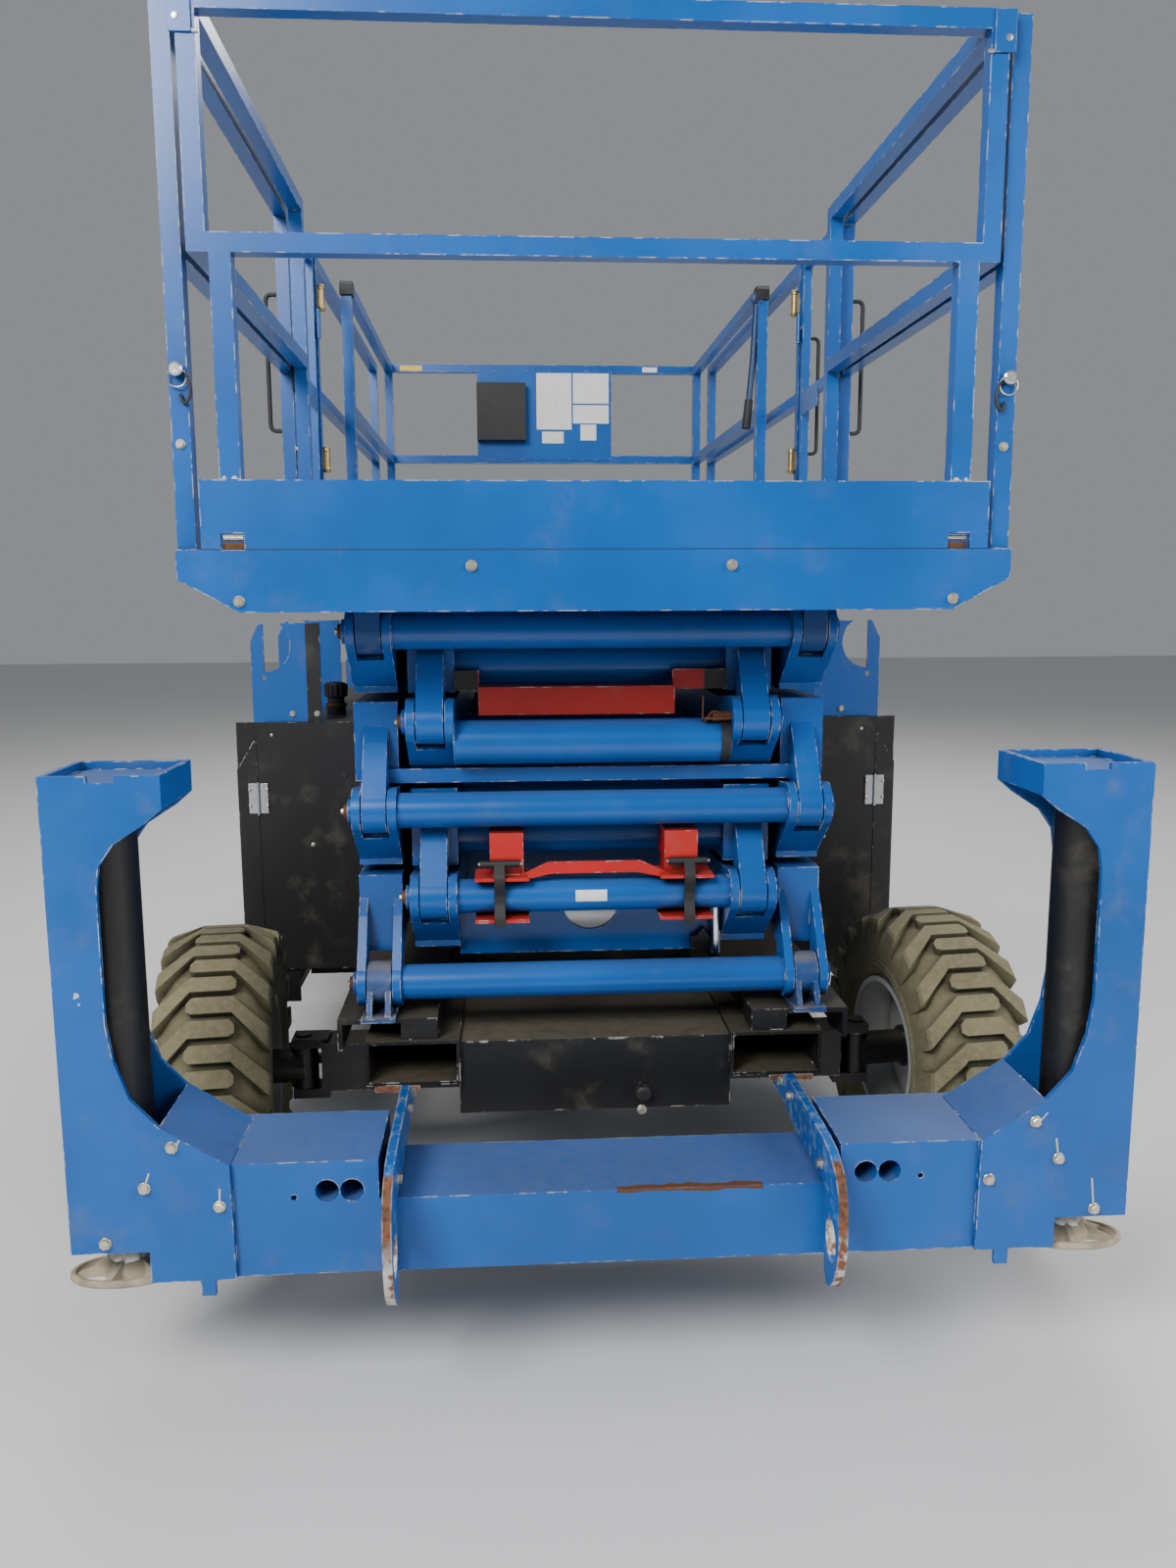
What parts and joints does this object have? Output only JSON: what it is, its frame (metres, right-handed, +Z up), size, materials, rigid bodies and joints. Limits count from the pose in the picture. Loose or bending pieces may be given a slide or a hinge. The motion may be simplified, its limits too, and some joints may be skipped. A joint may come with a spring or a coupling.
{
  "type": "scissor lift",
  "caption": "Rough terrain scissor lift: stacked crossing arms raise a railed platform with sliding deck ends; chassis has outriggers and lugged wheels.",
  "frame": {"origin": "on the ground under the middle of the machine", "axes": "+X across to the picture's right, +Y along the machine away from the steered end, +Z up"},
  "size_m": [2.4659, 5.124, 2.992],
  "materials": {
    "blue_paint": "worn gloss",
    "black_paint": "worn satin",
    "red_paint": "worn satin",
    "grey_metal": "worn, dusty",
    "deck_plate": "worn tread plate",
    "chrome_rod": "polished",
    "tyre_rubber": "dusty",
    "rim_paint": "satin",
    "engine_iron": "cast",
    "placard_blue": "satin",
    "black_plastic": "matte"
  },
  "bodies": {
    "chassis": {"chassis_frame": "black_paint", "pivot_hubs": "grey_metal", "outrigger_near": "blue_paint", "outrigger_far": "blue_paint", "outrigger_barrels": "black_paint", "tie_down_lugs": "grey_metal", "steer_axle": "black_paint", "drive_axle": "black_paint", "engine_block": "engine_iron", "cabinet_left": "black_paint", "cabinet_right": "black_paint", "entry_steps_left": "blue_paint", "entry_steps_right": "blue_paint"},
    "outer_1": {"outer_arm_1": "blue_paint"},
    "inner_1": {"inner_arm_1": "blue_paint"},
    "outer_2": {"outer_arm_2": "blue_paint"},
    "inner_2": {"inner_arm_2": "blue_paint", "safety_prop": "red_paint"},
    "outer_3": {"outer_arm_3": "blue_paint"},
    "inner_3": {"inner_arm_3": "blue_paint"},
    "outer_4": {"outer_arm_4": "blue_paint"},
    "inner_4": {"inner_arm_4": "blue_paint", "prop_upper": "red_paint"},
    "platform": {"platform_frame": "blue_paint", "platform_hubs": "grey_metal", "platform_rails_left": "blue_paint", "platform_rails_right": "blue_paint", "grab_handles": "black_paint"},
    "lift_barrel_lower": {"lift_barrel_lower": "black_paint"},
    "lift_rod_lower": {"lift_rod_lower": "chrome_rod"},
    "lift_barrel_upper": {"lift_barrel_upper": "black_paint"},
    "lift_rod_upper": {"lift_rod_upper": "chrome_rod"},
    "near_extension": {"near_deck": "deck_plate", "near_beam": "blue_paint", "near_rails": "blue_paint"},
    "far_extension": {"far_deck": "deck_plate", "far_beam": "blue_paint", "far_rails": "blue_paint", "placard_board": "placard_blue", "document_box": "black_plastic"},
    "gate_left": {"gate_left": "blue_paint"},
    "door_left": {"cabinet_door_left": "black_paint"},
    "knuckle_left": {"knuckle_left": "black_paint"},
    "wheel_near_left": {"tyre_near_left": "tyre_rubber", "rim_near_left": "rim_paint"},
    "jack_near_left": {"jack_near_left": "grey_metal"},
    "wheel_far_left": {"tyre_far_left": "tyre_rubber", "rim_far_left": "rim_paint"},
    "jack_far_left": {"jack_far_left": "grey_metal"},
    "gate_right": {"gate_right": "blue_paint"},
    "door_right": {"cabinet_door_right": "black_paint"},
    "knuckle_right": {"knuckle_right": "black_paint"},
    "wheel_near_right": {"tyre_near_right": "tyre_rubber", "rim_near_right": "rim_paint"},
    "jack_near_right": {"jack_near_right": "grey_metal"},
    "wheel_far_right": {"tyre_far_right": "tyre_rubber", "rim_far_right": "rim_paint"},
    "jack_far_right": {"jack_far_right": "grey_metal"},
    "tie_rod": {"tie_rod": "black_paint"}
  },
  "joints": [
    {"name": "lift", "type": "hinge", "parent": "chassis", "child": "outer_1", "pos_m": [0, -1.87, 0.81], "axis": [1, 0, 0], "range_deg": [0, 53.5]},
    {"name": "outer_2_fold", "type": "hinge", "parent": "outer_1", "child": "outer_2", "pos_m": [0, 1.73, 1.0325], "axis": [1, 0, 0], "range_deg": [-107, 0]},
    {"name": "outer_3_fold", "type": "hinge", "parent": "outer_2", "child": "outer_3", "pos_m": [0, -1.87, 1.255], "axis": [1, 0, 0], "range_deg": [0, 107]},
    {"name": "outer_4_fold", "type": "hinge", "parent": "outer_3", "child": "outer_4", "pos_m": [0, 1.73, 1.4775], "axis": [1, 0, 0], "range_deg": [-107, 0]},
    {"name": "inner_1_cross", "type": "hinge", "parent": "outer_1", "child": "inner_1", "pos_m": [0, -0.07, 0.92125], "axis": [1, 0, 0], "range_deg": [-107, 0]},
    {"name": "inner_2_cross", "type": "hinge", "parent": "outer_2", "child": "inner_2", "pos_m": [0, -0.07, 1.14375], "axis": [1, 0, 0], "range_deg": [0, 107]},
    {"name": "inner_3_cross", "type": "hinge", "parent": "outer_3", "child": "inner_3", "pos_m": [0, -0.07, 1.36625], "axis": [1, 0, 0], "range_deg": [-107, 0]},
    {"name": "inner_4_cross", "type": "hinge", "parent": "outer_4", "child": "inner_4", "pos_m": [0, -0.07, 1.58875], "axis": [1, 0, 0], "range_deg": [0, 107]},
    {"name": "platform_level", "type": "hinge", "parent": "outer_4", "child": "platform", "pos_m": [0, -1.87, 1.7], "axis": [1, 0, 0], "range_deg": [0, 53.5]},
    {"name": "lift_barrel_lower_swing", "type": "hinge", "parent": "inner_1", "child": "lift_barrel_lower", "pos_m": [0, -0.37, 0.9225], "axis": [1, 0, 0], "range_deg": [-1.65, 0.5]},
    {"name": "lift_rod_lower_slide", "type": "slide", "parent": "lift_barrel_lower", "child": "lift_rod_lower", "axis": [0, -0.9821, 0.1882], "range_m": [0, 0.51965]},
    {"name": "lift_barrel_upper_swing", "type": "hinge", "parent": "inner_3", "child": "lift_barrel_upper", "pos_m": [0, -0.37, 1.3675], "axis": [1, 0, 0], "range_deg": [-1.65, 0.5]},
    {"name": "lift_rod_upper_slide", "type": "slide", "parent": "lift_barrel_upper", "child": "lift_rod_upper", "axis": [0, -0.9821, 0.1882], "range_m": [0, 0.51965]},
    {"name": "near_deck_slide", "type": "slide", "parent": "platform", "child": "near_extension", "axis": [0, -1, 0], "range_m": [0, 1.1]},
    {"name": "far_deck_slide", "type": "slide", "parent": "platform", "child": "far_extension", "axis": [0, 1, 0], "range_m": [0, 0.9]},
    {"name": "gate_left_swing", "type": "hinge", "parent": "platform", "child": "gate_left", "pos_m": [-0.8705, -0.2995, 2.4], "axis": [0, 0, 1], "range_deg": [0, 90]},
    {"name": "door_left_swing", "type": "hinge", "parent": "chassis", "child": "door_left", "pos_m": [-1.1265, -0.2635, 0.86], "axis": [0, 0, 1], "range_deg": [0, 110]},
    {"name": "steer_left", "type": "hinge", "parent": "chassis", "child": "knuckle_left", "pos_m": [-0.825, -1.42, 0.42], "axis": [0, 0, 1], "range_deg": [-36, 24]},
    {"name": "wheel_near_left_roll", "type": "hinge", "parent": "knuckle_left", "child": "wheel_near_left", "pos_m": [-1.04081, -1.44268, 0.42], "axis": [0.9945, 0.1045, 0], "continuous": true},
    {"name": "jack_near_left_slide", "type": "slide", "parent": "chassis", "child": "jack_near_left", "axis": [0, 0, -1], "range_m": [0, 0.5]},
    {"name": "wheel_far_left_roll", "type": "hinge", "parent": "chassis", "child": "wheel_far_left", "pos_m": [-1.042, 1.42, 0.42], "axis": [1, 0, 0], "continuous": true},
    {"name": "jack_far_left_slide", "type": "slide", "parent": "chassis", "child": "jack_far_left", "axis": [0, 0, -1], "range_m": [0, 0.5]},
    {"name": "gate_right_swing", "type": "hinge", "parent": "platform", "child": "gate_right", "pos_m": [0.8705, -0.2995, 2.4], "axis": [0, 0, -1], "range_deg": [0, 90]},
    {"name": "door_right_swing", "type": "hinge", "parent": "chassis", "child": "door_right", "pos_m": [1.1265, -0.2635, 0.86], "axis": [0, 0, -1], "range_deg": [0, 110]},
    {"name": "steer_right", "type": "hinge", "parent": "chassis", "child": "knuckle_right", "pos_m": [0.825, -1.42, 0.42], "axis": [0, 0, 1], "range_deg": [-36, 24]},
    {"name": "wheel_near_right_roll", "type": "hinge", "parent": "knuckle_right", "child": "wheel_near_right", "pos_m": [1.04081, -1.39732, 0.42], "axis": [0.9945, 0.1045, 0], "continuous": true},
    {"name": "jack_near_right_slide", "type": "slide", "parent": "chassis", "child": "jack_near_right", "axis": [0, 0, -1], "range_m": [0, 0.5]},
    {"name": "wheel_far_right_roll", "type": "hinge", "parent": "chassis", "child": "wheel_far_right", "pos_m": [1.042, 1.42, 0.42], "axis": [1, 0, 0], "continuous": true},
    {"name": "jack_far_right_slide", "type": "slide", "parent": "chassis", "child": "jack_far_right", "axis": [0, 0, -1], "range_m": [0, 0.5]},
    {"name": "tie_rod_pivot", "type": "hinge", "parent": "knuckle_left", "child": "tie_rod", "pos_m": [-0.84277, -1.25093, 0.372], "axis": [0, 0, 1], "range_deg": [-24, 36]}
  ],
  "couplings": [
    {"joint": "outer_2_fold", "follows": "lift", "ratio": -2},
    {"joint": "outer_3_fold", "follows": "lift", "ratio": 2},
    {"joint": "outer_4_fold", "follows": "lift", "ratio": -2},
    {"joint": "inner_1_cross", "follows": "lift", "ratio": -2},
    {"joint": "inner_2_cross", "follows": "lift", "ratio": 2},
    {"joint": "inner_3_cross", "follows": "lift", "ratio": -2},
    {"joint": "inner_4_cross", "follows": "lift", "ratio": 2},
    {"joint": "platform_level", "follows": "lift", "ratio": 1},
    {"joint": "lift_barrel_lower_swing", "follows": "lift", "ratio": -0.021455},
    {"joint": "lift_rod_lower_slide", "follows": "lift", "m_per_rad": 0.55544},
    {"joint": "lift_barrel_upper_swing", "follows": "lift", "ratio": -0.021455},
    {"joint": "lift_rod_upper_slide", "follows": "lift", "m_per_rad": 0.55544},
    {"joint": "steer_right", "follows": "steer_left", "ratio": 1},
    {"joint": "tie_rod_pivot", "follows": "steer_left", "ratio": -1}
  ]
}
